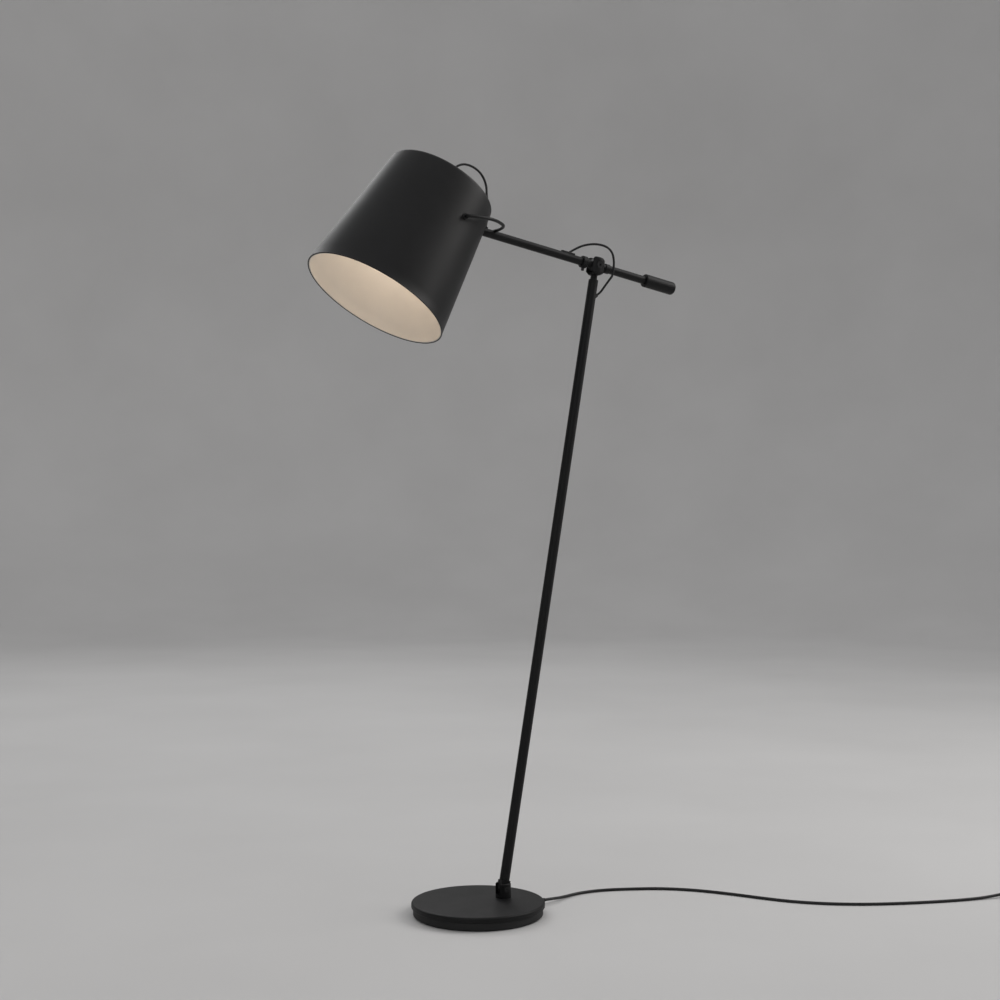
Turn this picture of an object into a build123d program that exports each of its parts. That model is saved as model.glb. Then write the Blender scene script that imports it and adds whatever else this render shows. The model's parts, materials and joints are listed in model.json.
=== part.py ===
from build123d import *
import math
import os

# Adjustable arm floor lamp. Millimetres, +Z up, origin at the centre of the base on the floor.
# The lamp stands in the plane Y = 0. Its post leans towards +X, and its shade hangs towards -X.

os.makedirs("parts", exist_ok=True)

# ---------------------------------------------------------------- clearances
RUN_GAP = 0.05  # radial, between a pivot pin and its bore
FIT_GAP = 0.05  # radial, between a fixed piece and its seat
SIDE_GAP = 0.3  # between faces that move past each other

# ---------------------------------------------------------------- tubes and rod
POST_D = 19.0
POST_WALL = 1.5
ARM_D = 16.0
ARM_WALL = 1.5
ROD_D = 6.0  # bent rod of the yoke

# ---------------------------------------------------------------- base
PLATE_D = 250.0  # top plate of the base
PLATE_T = 10.0
PLATE_EDGE_R = 4.0
WEIGHT_STEP = 3.5  # the weight stands back from the plate's edge
WEIGHT_D = PLATE_D - 2 * WEIGHT_STEP  # cast weight under the plate
WEIGHT_T = 14.0
PAD_STEP = 4.5
PAD_D = WEIGHT_D - 2 * PAD_STEP  # soft pad that meets the floor
PAD_T = 2.0
BASE_SCREW_D = 6.0
BASE_SCREW_HEAD_D = 10.0
BASE_SCREW_HEAD_T = 5.0
BASE_SCREW_CIRCLE_D = 180.0
BASE_SCREW_BITE = 6.0  # depth of the screws in the plate

# ---------------------------------------------------------------- foot and post
FOOT_X = 54.5  # the foot stands this far from the centre of the base
FOOT_CHEEK = 5.0  # the foot stands proud of the post
FOOT_D = POST_D + 2 * FOOT_CHEEK
FOOT_H = 27.0  # above the top plate
FOOT_PIVOT_H = 17.0  # the tilt axis above the top plate
FOOT_SPIGOT_D = 20.0
FOOT_SPIGOT_H = 6.0  # sunk in the top plate
TONGUE_FLAT = 2.5  # cut from each side of the post's round
TONGUE_W = POST_D - 2 * TONGUE_FLAT  # across the slot of the foot
STUD_D = 12.0  # hollow stud that holds the foot on the base
STUD_BORE_D = 7.0
STUD_NUT_D = 20.0
STUD_NUT_T = 5.0
FOOT_PIN_D = 6.0
FOOT_PIN_HEAD_D = 10.0
FOOT_PIN_HEAD_T = 3.0
FOOT_PIN_BITE = 3.2  # how far each pivot screw enters the tongue
POST_LEAN = 10.0  # degrees from the vertical, at rest
POST_LENGTH = 1208.0  # foot pivot to arm pivot
POST_COLLAR_Z = 15.0  # lower end of the round part of the post foot, above the foot pivot
POST_COLLAR_H = 6.0
POST_PLUG_L = 30.0  # of the post foot inside the tube
POST_EXIT_DROP = 58.5  # the lead leaves the post's side this far below the arm pivot
POST_EXIT_SLANT = 50.0  # degrees between the post and the lead where it leaves
POST_SPOUT_L = 4.0

# ---------------------------------------------------------------- knuckle
HUB_SIDE = 1.2  # the hub is wider than the arm by this on each side
HUB_W = ARM_D + 2 * HUB_SIDE  # across the fork
HUB_WALL = 5.5
HUB_D = ARM_D + 2 * HUB_WALL
BRIDGE_GAP = 0.8  # under the hub
BRIDGE_TOP = HUB_D / 2 + BRIDGE_GAP  # floor of the fork, below the arm pivot
BRIDGE_T = 4.7
BRIDGE_W = 13.0  # along the arm
CHEEK_T = 7.8  # from the hub's side to the outer face of the fork
CHEEK_ABOVE = 2.5
KNUCKLE_D = HUB_W + 2 * CHEEK_T
KNUCKLE_TOP = HUB_D / 2 + CHEEK_ABOVE  # above the arm pivot
KNUCKLE_BOTTOM = BRIDGE_TOP + BRIDGE_T  # below the arm pivot
KNUCKLE_TOP_R = 7.0
KNUCKLE_CHAMFER = 5.0
NECK_D = 13.0
NECK_L = 9.0
NECK_DROP = KNUCKLE_BOTTOM + NECK_L  # lower end of the neck, below the arm pivot
SPINDLE_D = 8.0
SPINDLE_L = 31.0
CAP_L = 23.0  # post cap, top to bottom
CAP_LIP_T = 4.0
SPINDLE_NUT_D = 12.0
SPINDLE_NUT_T = 4.0
WASHER_T = 0.8
WASHER_D = 24.0
TILT_PIN_D = 8.0
TILT_HEAD_D = 13.0
TILT_HEAD_T = 3.4
TILT_NUT_T = 3.4

# ---------------------------------------------------------------- arm
ARM_REACH = 259.0  # arm pivot to the tip by the shade
COUNTER_X = 118.0  # arm pivot to the counterweight
COUNTER_WALL = 5.0
COUNTER_D = ARM_D + 2 * COUNTER_WALL
COUNTER_L = 72.0
COUNTER_END_R = 5.0
COUNTER_SOCKET = 32.0  # how far the arm goes into the counterweight
LEFT_COLLAR_X = 23.0
LEFT_COLLAR_L = 11.0
LEFT_COLLAR_WALL = 3.75
LEFT_COLLAR_D = ARM_D + 2 * LEFT_COLLAR_WALL
RIGHT_COLLAR_X = 20.0
RIGHT_COLLAR_L = 11.0
RIGHT_COLLAR_WALL = 1.5
RIGHT_COLLAR_D = ARM_D + 2 * RIGHT_COLLAR_WALL
LOCK_SCREW_D = 4.0
LOCK_HEAD_D = 6.0
LOCK_HEAD_L = 5.0
GRUB_D = 5.0
GRUB_L = 5.0
ENTRY_X = 66.6  # the lead crosses the top of the arm here, left of the arm pivot
ENTRY_SLANT = 50.0  # degrees between the lead there and a square to the arm
ENTRY_REACH = 4.7  # from the arm's top to the mouth of the saddle, along the lead
ENTRY_L = 32.0  # length of the rubber entry on top of the arm
ENTRY_W = 8.0
ENTRY_H = 2.6  # stands proud of the arm
TIP_HOLE_X = 253.3  # the lead leaves the arm here
TIP_GROMMET_H = 2.0
ARM_LEAD_Z = -2.0  # height of the lead inside the arm
TIP_CAP_T = 2.0
TIP_PLUG_L = 2.2

# ---------------------------------------------------------------- shade
SHADE_PIVOT_X = 356.4  # left of the arm pivot, along the arm
SHADE_PIVOT_Z = -14.45  # below the arm's axis
SHADE_TILT = 32.2  # degrees from the vertical, at rest
SHADE_AXIS_X = -29.6  # the shade's axis from its pivots
SHADE_TOP = 70.5  # top of the shade above its pivots
SHADE_H = 258.5
SHADE_TOP_R = 104.5
SHADE_MOUTH_R = 137.1
SHADE_WALL = 1.5
SHADE_SHOULDER_R = 7.0
SHADE_BEAD_R = 1.2
SHADE_SLOPE = (SHADE_MOUTH_R - SHADE_TOP_R) / SHADE_H
PIVOT_LEVEL_R = SHADE_TOP_R + SHADE_SLOPE * SHADE_TOP  # radius of the shade level with its pivots
SIDE_Y = math.sqrt(PIVOT_LEVEL_R**2 - SHADE_AXIS_X**2)  # the shade's side where the pivots go through
LINER_T = 1.0
BUSH_WALL = 1.0
BUSH_D = ROD_D + 2 * BUSH_WALL
BUSH_RIM = 1.5
BUSH_HEAD_D = BUSH_D + 2 * BUSH_RIM
BUSH_PROUD = 2.8
BUSH_DEPTH = 5.8
BUSH_HEAD_Y = SIDE_Y + BUSH_PROUD  # outer face of the bush
BUSH_INNER_Y = SIDE_Y - BUSH_DEPTH

# ---------------------------------------------------------------- yoke
YOKE_CROSS_X = 235.0  # the rod crosses the arm here, left of the arm pivot
YOKE_CROSS_DEPTH = 1.0
YOKE_CROSS_Z = ARM_D / 2 - YOKE_CROSS_DEPTH  # above the arm's axis
YOKE_LEG_GAP = 9.0  # from the shade's side to the middle of the leg
YOKE_HALF_W = SIDE_Y + YOKE_LEG_GAP
YOKE_END_DEPTH = 11.5
YOKE_END_Y = SIDE_Y - YOKE_END_DEPTH
YOKE_BEND_R = 5.0
YOKE_SHOULDER_X = 51.0  # where the legs start to turn inwards, from the pivots
YOKE_SHOULDER_R = 104.0
YOKE_BACK_HALF = 49.0
YOKE_BACK_R = 94.0
YOKE_NUT_WALL = 2.5
YOKE_NUT_D = ROD_D + 2 * YOKE_NUT_WALL
YOKE_NUT_T = 4.0
INSERT_L = 26.0  # solid insert under the rod, inside the arm

# ---------------------------------------------------------------- on the shade's axis
NIPPLE_D = 10.0
NIPPLE_BORE_D = 6.0
NIPPLE_UP = 6.0  # above the shade's top
NIPPLE_DOWN = 14.0  # below it
GLAND_D = 16.0
GLAND_H = 9.0
HOLDER_D = 38.0
HOLDER_L = 50.0
HOLDER_MOUTH_D = 28.0
HOLDER_MOUTH_DEPTH = 30.0
HOLDER_GAP = 6.0  # between the shade's top and the lampholder
HOLDER_NUT_D = 18.0
BULB_CAP_D = 26.5
BULB_CAP_L = 27.0
BULB_D = 60.0
BULB_L = 80.0
BULB_WALL = 1.2

# ---------------------------------------------------------------- leads
LEAD_D = 4.4  # the lead on the lamp
CORD_D = 5.6  # the mains cord on the floor
GLAND_Z = 9.0  # the cord leaves the base at this height
BOOT_L = 25.5  # strain relief outside the base
BOOT_D = 9.0
BOOT_TIP_D = 7.0
BOOT_ROOT_L = 10.0
FLOOR_GAP = 0.1
COIL_R = 31.0  # middle of the coil's turns
COIL_COLUMNS = 2
COIL_LAYERS = 3
COIL_CENTRE = (985.0, -478.0)
CORD_RADII = {}

# ---------------------------------------------------------------- switch and plug on the cord
SWITCH_CENTRE = (986.0, -417.0)
SWITCH_TURN = -9.0  # degrees, direction of the cord through the switch
SWITCH_L = 60.0
SWITCH_W = 28.0
SWITCH_H = 20.0
SWITCH_SPLIT = 9.0  # height of the lower half
SWITCH_WALL = 2.0
BUTTON_D = 15.0
BUTTON_PROUD = 4.0
BUTTON_TRAVEL = 2.5
BUTTON_FLANGE_D = 18.0
BUTTON_FLANGE_T = 1.5
PLUG_END = (915.0, -505.0)
PLUG_TURN = 170.0
PLUG_L = 36.0
PLUG_W = 35.0
PLUG_T = 14.0
PLUG_NECK_L = 14.0
PIN_D = 4.0
PIN_L = 19.0
PIN_SPACING = 19.0

# ---------------------------------------------------------------- frames of the moving bodies
WEIGHT_TOP = PAD_T + WEIGHT_T
BASE_TOP = WEIGHT_TOP + PLATE_T
FOOT_PIVOT = Vector(FOOT_X, 0, BASE_TOP + FOOT_PIVOT_H)
POST_PLACE = Location(FOOT_PIVOT, (0, POST_LEAN, 0))
HEAD_PLACE = POST_PLACE * Location((0, 0, POST_LENGTH))
SHADE_PLACE = (
    HEAD_PLACE
    * Location((-SHADE_PIVOT_X, 0, SHADE_PIVOT_Z))
    * Location((0, 0, 0), (0, SHADE_TILT - POST_LEAN, 0))
)
YOKE_RISE = math.degrees(math.atan2(YOKE_CROSS_Z - SHADE_PIVOT_Z, SHADE_PIVOT_X - YOKE_CROSS_X))
YOKE_L = math.hypot(YOKE_CROSS_Z - SHADE_PIVOT_Z, SHADE_PIVOT_X - YOKE_CROSS_X)
YOKE_PLACE = Location((-SHADE_PIVOT_X, 0, SHADE_PIVOT_Z), (0, -YOKE_RISE, 0))
FORK_GAP = HUB_W + 2 * WASHER_T + 2 * SIDE_GAP
POST_BORE_D = POST_D - 2 * POST_WALL
ARM_BORE_D = ARM_D - 2 * ARM_WALL
POST_TOP = POST_LENGTH - NECK_DROP - SIDE_GAP


# ---------------------------------------------------------------- small helpers
AXIS_TURN = {"x": (0, 90, 0), "y": (-90, 0, 0), "z": (0, 0, 0)}
ON_FLOOR = (Align.CENTER, Align.CENTER, Align.MIN)


def rod(diameter, start, end, axis="z"):
    """A round bar along one axis, from start to end."""
    bar = Pos(0, 0, start) * Cylinder(diameter / 2, end - start, align=ON_FLOOR)
    return Location((0, 0, 0), AXIS_TURN[axis]) * bar


def ring(outer, inner, start, end, axis="z"):
    return rod(outer, start, end, axis) - rod(inner, start - 1, end + 1, axis)


def block(x_size, y_size, z_low, z_high):
    return Pos(0, 0, z_low) * Box(x_size, y_size, z_high - z_low, align=ON_FLOOR)


def cone(d_low, d_high, start, end, axis="z"):
    """A tapered bar, d_low wide at start and d_high wide at end."""
    body = Pos(0, 0, start) * Cone(d_low / 2, d_high / 2, end - start, align=ON_FLOOR)
    return Location((0, 0, 0), AXIS_TURN[axis]) * body


def hexagon(across_flats, start, end, axis="z"):
    flat = RegularPolygon(across_flats / math.sqrt(3), 6)
    return Location((0, 0, 0), AXIS_TURN[axis]) * (Pos(0, 0, start) * extrude(flat, end - start))


def group(*solids):
    """Several separate solids as one node."""
    return Compound(children=[s for item in solids for s in item.solids()])


def largest_radii(points):
    """0.45 of the shorter run at each corner, divided by the tangent of half the turn."""
    corners = [Vector(*p) for p in points]
    radii = []
    for before, at, after in zip(corners, corners[1:], corners[2:]):
        turn = math.radians((at - before).get_angle(after - at))
        shorter = min((at - before).length, (after - at).length)
        radii.append(0.45 * shorter / math.tan(turn / 2))
    return radii


def cord(name, points, diameter):
    """A round cord along straight runs that are joined by the largest tangent arcs."""
    radii = largest_radii(points)
    path = FilletPolyline(*points, radius=radii)
    section = Plane(origin=path @ 0, z_dir=path % 0) * Circle(diameter / 2)
    tube = sweep(section, path=path)
    expected = math.pi * diameter**2 / 4 * path.length
    CORD_RADII[name] = [round(r, 1) for r in radii]
    share = round(tube.volume / expected, 5)
    print(name, "length", round(path.length, 1), "tube over section x length", share)
    return tube


# ---------------------------------------------------------------- base
def base_pad():
    return rod(PAD_D, 0, PAD_T)


def screw_places():
    return PolarLocations(BASE_SCREW_CIRCLE_D / 2, 3, start_angle=60)


def base_weight():
    disc = rod(WEIGHT_D, PAD_T, WEIGHT_TOP)
    disc = chamfer(disc.edges().group_by(Axis.Z)[0], 1.0)
    disc -= screw_places() * rod(BASE_SCREW_D + 2 * FIT_GAP, PAD_T - 1, WEIGHT_TOP + 1)
    disc -= screw_places() * rod(BASE_SCREW_HEAD_D + 2 * FIT_GAP, PAD_T - 1, PAD_T + BASE_SCREW_HEAD_T)
    disc -= Pos(FOOT_X, 0, 0) * rod(STUD_D + 2 * FIT_GAP, PAD_T - 1, WEIGHT_TOP + 1)
    disc -= Pos(FOOT_X, 0, 0) * rod(STUD_NUT_D + 2, PAD_T - 1, PAD_T + STUD_NUT_T)
    # The cord's channel runs from the hollow stud to the edge.
    disc -= rod(CORD_D + 1, FOOT_X, WEIGHT_D, "x").moved(Location((0, 0, GLAND_Z)))
    gland_root = WEIGHT_D / 2 - BOOT_ROOT_L
    disc -= rod(BOOT_D + 2 * FIT_GAP, gland_root, WEIGHT_D, "x").moved(Location((0, 0, GLAND_Z)))
    return disc


def base_plate():
    disc = rod(PLATE_D, WEIGHT_TOP, BASE_TOP)
    disc = fillet(disc.edges().group_by(Axis.Z)[-1], PLATE_EDGE_R)
    disc = chamfer(disc.edges().group_by(Axis.Z)[0], 1.0)
    disc -= Pos(FOOT_X, 0, 0) * rod(STUD_D + 2 * FIT_GAP, WEIGHT_TOP - 1, BASE_TOP)
    spigot_floor = BASE_TOP - FOOT_SPIGOT_H
    disc -= Pos(FOOT_X, 0, 0) * rod(FOOT_SPIGOT_D + 2 * FIT_GAP, spigot_floor, BASE_TOP + 1)
    hole_top = WEIGHT_TOP + BASE_SCREW_BITE + 0.5
    disc -= screw_places() * rod(BASE_SCREW_D + 2 * FIT_GAP, WEIGHT_TOP - 1, hole_top)
    return disc


def base_screws():
    head = rod(BASE_SCREW_HEAD_D, PAD_T, PAD_T + BASE_SCREW_HEAD_T)
    head -= hexagon(5.0, PAD_T - 1, PAD_T + 3)
    shank = rod(BASE_SCREW_D, PAD_T + BASE_SCREW_HEAD_T, WEIGHT_TOP + BASE_SCREW_BITE)
    screw = head + shank
    return group(*[place * screw for place in screw_places()])


def foot_stud():
    low, high = PAD_T + 0.5, BASE_TOP + 4.0
    stud = rod(STUD_D, low, high)
    stud -= rod(STUD_BORE_D, GLAND_Z - (CORD_D + 1) / 2, high + 1)
    # The cord enters the stud's bore from the side.
    side_hole = rod(CORD_D + 1, 0, STUD_D, "x").moved(Location((0, 0, GLAND_Z)))
    return Pos(FOOT_X, 0, 0) * (stud - side_hole)


def foot_nut():
    nut = hexagon(STUD_NUT_D * math.sqrt(3) / 2, PAD_T + 0.5, PAD_T + STUD_NUT_T - 1.5)
    nut -= rod(STUD_D + 2 * FIT_GAP, 0, WEIGHT_TOP)
    return Pos(FOOT_X, 0, 0) * nut


def slot_floor():
    return FOOT_PIVOT.Z - POST_D / 2 - 1.0


def foot_clevis():
    body = rod(FOOT_D, BASE_TOP, BASE_TOP + FOOT_H)
    body = chamfer(body.edges().group_by(Axis.Z)[-1], 1.2)
    body += rod(FOOT_SPIGOT_D, BASE_TOP - FOOT_SPIGOT_H, BASE_TOP)
    body -= block(FOOT_D + 2, TONGUE_W + 2 * SIDE_GAP, slot_floor(), BASE_TOP + FOOT_H + 1)
    body -= rod(STUD_D + 2 * FIT_GAP, BASE_TOP - FOOT_SPIGOT_H - 1, BASE_TOP + 4.5)
    body -= rod(STUD_BORE_D, BASE_TOP, slot_floor() + 1)
    pin_hole = rod(FOOT_PIN_D + 2 * FIT_GAP, -FOOT_D, FOOT_D, "y")
    seat = FOOT_D / 2 - FOOT_PIN_HEAD_T
    for side in (1, -1):
        pin_hole += rod(FOOT_PIN_HEAD_D + 2 * FIT_GAP, *sorted((side * seat, side * FOOT_D)), "y")
    body -= Pos(0, 0, FOOT_PIVOT.Z) * pin_hole
    return Pos(FOOT_X, 0, 0) * body


def foot_pivot_screws():
    """Two shoulder screws that leave the middle of the tongue free for the lead."""
    seat = FOOT_D / 2 - FOOT_PIN_HEAD_T
    tip = TONGUE_W / 2 - FOOT_PIN_BITE
    screws = []
    for side in (1, -1):
        shank = rod(FOOT_PIN_D, *sorted((side * tip, side * seat)), "y")
        head = rod(FOOT_PIN_HEAD_D, *sorted((side * seat, side * (seat + FOOT_PIN_HEAD_T - 0.6))), "y")
        socket = hexagon(4.0, *sorted((side * (seat + 0.6), side * FOOT_D)), "y")
        screws.append(Pos(*FOOT_PIVOT) * (shank + head - socket))
    return group(*screws)


def cord_gland():
    """Tapered strain relief in the side of the weight, on the cord."""
    edge = WEIGHT_D / 2
    root = rod(BOOT_D, edge - BOOT_ROOT_L, edge, "x")
    boot = cone(BOOT_D + 1.5, BOOT_TIP_D, edge, edge + BOOT_L, "x")
    grooves = [ring(BOOT_D + 4, BOOT_TIP_D - 0.4, edge + x, edge + x + 1.2, "x") for x in (6, 10, 14, 18)]
    body = root + boot
    for groove in grooves:
        body -= groove
    body -= rod(CORD_D + 2 * FIT_GAP, edge - BOOT_ROOT_L - 1, edge + BOOT_L + 1, "x")
    return Pos(0, 0, GLAND_Z) * body


def base_lead():
    """The cord inside the base, from the strain relief up the hollow stud to the foot's slot."""
    edge = WEIGHT_D / 2 + BOOT_L
    top = slot_floor()
    points = [(edge, 0, GLAND_Z), (FOOT_X, 0, GLAND_Z), (FOOT_X, 0, top)]
    path = FilletPolyline(*points, radius=3.2)
    section = Plane(origin=path @ 0, z_dir=path % 0) * Circle(CORD_D / 2)
    return sweep(section, path=path)


# ---------------------------------------------------------------- post
def post_foot():
    """Tongue in the foot's slot, a round collar, and a plug inside the post."""
    tongue = rod(POST_D, -TONGUE_W / 2, TONGUE_W / 2, "y")
    tongue += block(POST_D, TONGUE_W, 0, POST_COLLAR_Z)
    collar = rod(POST_D, POST_COLLAR_Z, POST_COLLAR_Z + POST_COLLAR_H)
    plug_low = POST_COLLAR_Z + POST_COLLAR_H
    plug = rod(POST_BORE_D - 2 * FIT_GAP, plug_low, plug_low + POST_PLUG_L)
    body = tongue + collar + plug
    body -= rod(STUD_BORE_D, -POST_D, plug_low + POST_PLUG_L + 1)
    side = TONGUE_W / 2
    for sign in (1, -1):
        bore = sorted((sign * (side - FOOT_PIN_BITE - 0.3), sign * (side + 1)))
        body -= rod(FOOT_PIN_D + 2 * RUN_GAP, *bore, "y")
    return POST_PLACE * body


def along_exit(solid):
    """Turns a solid on +Z to the slanting line along which the lead leaves the post."""
    return Location((POST_D / 2, 0, POST_LENGTH - POST_EXIT_DROP), (0, POST_EXIT_SLANT, 0)) * solid


def post_tube():
    low = POST_COLLAR_Z + POST_COLLAR_H
    high = POST_TOP - CAP_LIP_T
    tube = ring(POST_D, POST_BORE_D, low, high)
    return POST_PLACE * (tube - along_exit(rod(LEAD_D + 3.6, -POST_D / 2, POST_D)))


def post_cap():
    lip = rod(POST_D, POST_TOP - CAP_LIP_T, POST_TOP)
    lip = chamfer(lip.edges().group_by(Axis.Z)[-1], 1.0)
    plug = rod(POST_BORE_D - 2 * FIT_GAP, POST_TOP - CAP_L, POST_TOP - CAP_LIP_T)
    bore = rod(SPINDLE_D + 2 * RUN_GAP, POST_TOP - CAP_L - 1, POST_TOP + 1)
    return POST_PLACE * (lip + plug - bore)


def post_grommet():
    """Rubber spout in the side of the post, where the lead goes in."""
    post_skin = rod(POST_D + 2 * FIT_GAP, POST_LENGTH - 2 * POST_EXIT_DROP, POST_LENGTH)
    spout = along_exit(cone(LEAD_D + 5.4, LEAD_D + 3.0, -6.0, POST_SPOUT_L)) - post_skin
    stem = along_exit(rod(LEAD_D + 3.6 - 2 * FIT_GAP, -3.5, 1.0))
    bore = along_exit(rod(LEAD_D + 2 * FIT_GAP, -POST_D, POST_D))
    return POST_PLACE * (stem + spout - bore)


def post_lead():
    """The lead inside the post, from the foot pivot to the spout."""
    slant = math.radians(POST_EXIT_SLANT)
    exit_z = POST_LENGTH - POST_EXIT_DROP
    bend = (0, 0, exit_z - POST_D / 2 / math.tan(slant))
    end = (POST_D / 2 + POST_SPOUT_L * math.sin(slant), 0, exit_z + POST_SPOUT_L * math.cos(slant))
    path = FilletPolyline((0, 0, 0), bend, end, radius=8.0)
    section = Plane(origin=path @ 0, z_dir=path % 0) * Circle(LEAD_D / 2)
    return POST_PLACE * sweep(section, path=path)


# ---------------------------------------------------------------- knuckle
def knuckle_body():
    """Fork on a neck and a spindle. The fork is open along the arm and at its top."""
    body = rod(KNUCKLE_D, -KNUCKLE_BOTTOM, KNUCKLE_TOP)
    body = fillet(body.edges().group_by(Axis.Z)[-1], KNUCKLE_TOP_R)
    body = chamfer(body.edges().group_by(Axis.Z)[0], KNUCKLE_CHAMFER)
    gap = block(KNUCKLE_D + 2, FORK_GAP, -KNUCKLE_BOTTOM - 1, KNUCKLE_TOP + 1)
    gap -= block(BRIDGE_W, FORK_GAP + 2, -KNUCKLE_BOTTOM - 2, -BRIDGE_TOP)
    body -= gap
    body += rod(NECK_D, -NECK_DROP, -BRIDGE_TOP)
    body += rod(SPINDLE_D, -NECK_DROP - SPINDLE_L, -NECK_DROP)
    body -= rod(TILT_PIN_D + 2 * FIT_GAP, -KNUCKLE_D, KNUCKLE_D, "y")
    face = KNUCKLE_D / 2
    body -= rod(TILT_HEAD_D + 2 * FIT_GAP, -face - 1, -face + TILT_HEAD_T, "y")
    body -= rod(TILT_HEAD_D + 2 * FIT_GAP, face - TILT_NUT_T, face + 1, "y")
    return HEAD_PLACE * body


def tilt_screw():
    face = KNUCKLE_D / 2
    head = rod(TILT_HEAD_D, -face + 0.4, -face + TILT_HEAD_T, "y")
    head -= hexagon(5.0, -face - 1, -face + TILT_HEAD_T - 1.0, "y")
    shank = rod(TILT_PIN_D, -face + TILT_HEAD_T, face - 0.4, "y")
    return HEAD_PLACE * (head + shank)


def tilt_nut():
    face = KNUCKLE_D / 2
    nut = hexagon(TILT_HEAD_D * math.sqrt(3) / 2 - 0.2, face - TILT_NUT_T, face - 0.6, "y")
    return HEAD_PLACE * (nut - rod(TILT_PIN_D + 2 * FIT_GAP, 0, face + 1, "y"))


def friction_washers():
    low = HUB_W / 2 + SIDE_GAP
    washers = []
    for side in (1, -1):
        span = sorted((side * low, side * (low + WASHER_T)))
        washers.append(HEAD_PLACE * ring(WASHER_D, TILT_PIN_D + 2 * FIT_GAP, *span, "y"))
    return group(*washers)


def spindle_nut():
    high = -NECK_DROP - SIDE_GAP - CAP_L - SIDE_GAP
    nut = rod(SPINDLE_NUT_D, high - SPINDLE_NUT_T, high)
    nut -= rod(SPINDLE_D + 2 * FIT_GAP, high - SPINDLE_NUT_T - 1, high + 1)
    return HEAD_PLACE * nut


# ---------------------------------------------------------------- arm
def yoke_path():
    half = [(0, YOKE_END_Y), (0, YOKE_HALF_W), (YOKE_SHOULDER_X, YOKE_HALF_W), (YOKE_L, YOKE_BACK_HALF)]
    points = [(x, -y, 0) for x, y in half] + [(x, y, 0) for x, y in reversed(half)]
    corner_radii = [YOKE_BEND_R, YOKE_SHOULDER_R, YOKE_BACK_R]
    return FilletPolyline(*points, radius=corner_radii + corner_radii[::-1])


def yoke():
    """Bent rod that carries the shade. It crosses the top of the arm in a brazed notch."""
    path = yoke_path()
    section = Plane(origin=path @ 0, z_dir=path % 0) * Circle(ROD_D / 2)
    return HEAD_PLACE * (YOKE_PLACE * sweep(section, path=path))


def yoke_notch():
    """The straight back of the rod, a little wider, cut out of the arm and its insert."""
    bar = rod(ROD_D + 2 * FIT_GAP, -ARM_D, ARM_D, "y")
    return Pos(-YOKE_CROSS_X, 0, YOKE_CROSS_Z) * bar


def arm_tube():
    tube = ring(ARM_D, ARM_BORE_D, -ARM_REACH, COUNTER_X + COUNTER_SOCKET, "x")
    tube -= rod(TILT_PIN_D + 2 * RUN_GAP, -ARM_D, ARM_D, "y")
    tube -= yoke_notch()
    tube -= Pos(-TIP_HOLE_X, 0, 0) * rod(LEAD_D + 2.4, 0, ARM_D)
    slot = block(ENTRY_L - 14, LEAD_D + 1.0, 0, ARM_D)
    tube -= Pos(-ENTRY_X - 1.5, 0, 0) * slot
    tube -= Pos(-LEFT_COLLAR_X - LEFT_COLLAR_L / 2, 0, 0) * rod(LOCK_SCREW_D + 2 * FIT_GAP, -ARM_D, 0)
    return HEAD_PLACE * tube


def arm_hub():
    """Barrel on the arm that turns between the fork's cheeks."""
    hub = rod(HUB_D, -HUB_W / 2, HUB_W / 2, "y")
    hub -= rod(ARM_D + 2 * FIT_GAP, -HUB_D, HUB_D, "x")
    hub -= rod(TILT_PIN_D + 2 * RUN_GAP, -HUB_W, HUB_W, "y")
    hub = hub & block(HUB_D + 2, HUB_W + 2, -BRIDGE_TOP + SIDE_GAP, HUB_D)
    return HEAD_PLACE * hub


def arm_collar(low, high, diameter):
    collar = rod(diameter, low, high, "x")
    collar = chamfer(collar.edges().filter_by(GeomType.CIRCLE), 1.0)
    return collar - rod(ARM_D + 2 * FIT_GAP, low - 1, high + 1, "x")


def left_collar():
    body = arm_collar(-LEFT_COLLAR_X - LEFT_COLLAR_L, -LEFT_COLLAR_X, LEFT_COLLAR_D)
    hole = rod(LOCK_SCREW_D + 2 * FIT_GAP, -LEFT_COLLAR_D, 0)
    body -= Pos(-LEFT_COLLAR_X - LEFT_COLLAR_L / 2, 0, 0) * hole
    return HEAD_PLACE * body


def right_collar():
    return HEAD_PLACE * arm_collar(RIGHT_COLLAR_X, RIGHT_COLLAR_X + RIGHT_COLLAR_L, RIGHT_COLLAR_D)


def lock_screw():
    """Small thumb screw under the left collar, which locks it to the arm."""
    low = -LEFT_COLLAR_D / 2 - 0.3
    shank = rod(LOCK_SCREW_D, low, -ARM_BORE_D / 2 + 0.2)
    head = rod(LOCK_HEAD_D, low - LOCK_HEAD_L, low)
    head = fillet(head.edges().group_by(Axis.Z)[0], 1.0)
    return HEAD_PLACE * (Pos(-LEFT_COLLAR_X - LEFT_COLLAR_L / 2, 0, 0) * (shank + head))


def counterweight():
    body = rod(COUNTER_D, COUNTER_X, COUNTER_X + COUNTER_L, "x")
    body = fillet(body.edges().group_by(Axis.X)[-1], COUNTER_END_R)
    body = chamfer(body.edges().group_by(Axis.X)[0], 1.2)
    body -= rod(ARM_D + 2 * FIT_GAP, COUNTER_X - 1, COUNTER_X + COUNTER_SOCKET + 0.2, "x")
    middle = COUNTER_X + COUNTER_SOCKET / 2
    body -= Pos(middle, 0, 0) * rod(GRUB_D + 2 * FIT_GAP, -COUNTER_D, 0)
    return HEAD_PLACE * body


def counterweight_screw():
    middle = COUNTER_X + COUNTER_SOCKET / 2
    screw = rod(GRUB_D, -ARM_D / 2 - FIT_GAP - GRUB_L + 0.7, -ARM_D / 2 - FIT_GAP)
    screw -= hexagon(2.5, -ARM_D, -ARM_D / 2 - GRUB_L + 3.2)
    return HEAD_PLACE * (Pos(middle, 0, 0) * screw)


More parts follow.
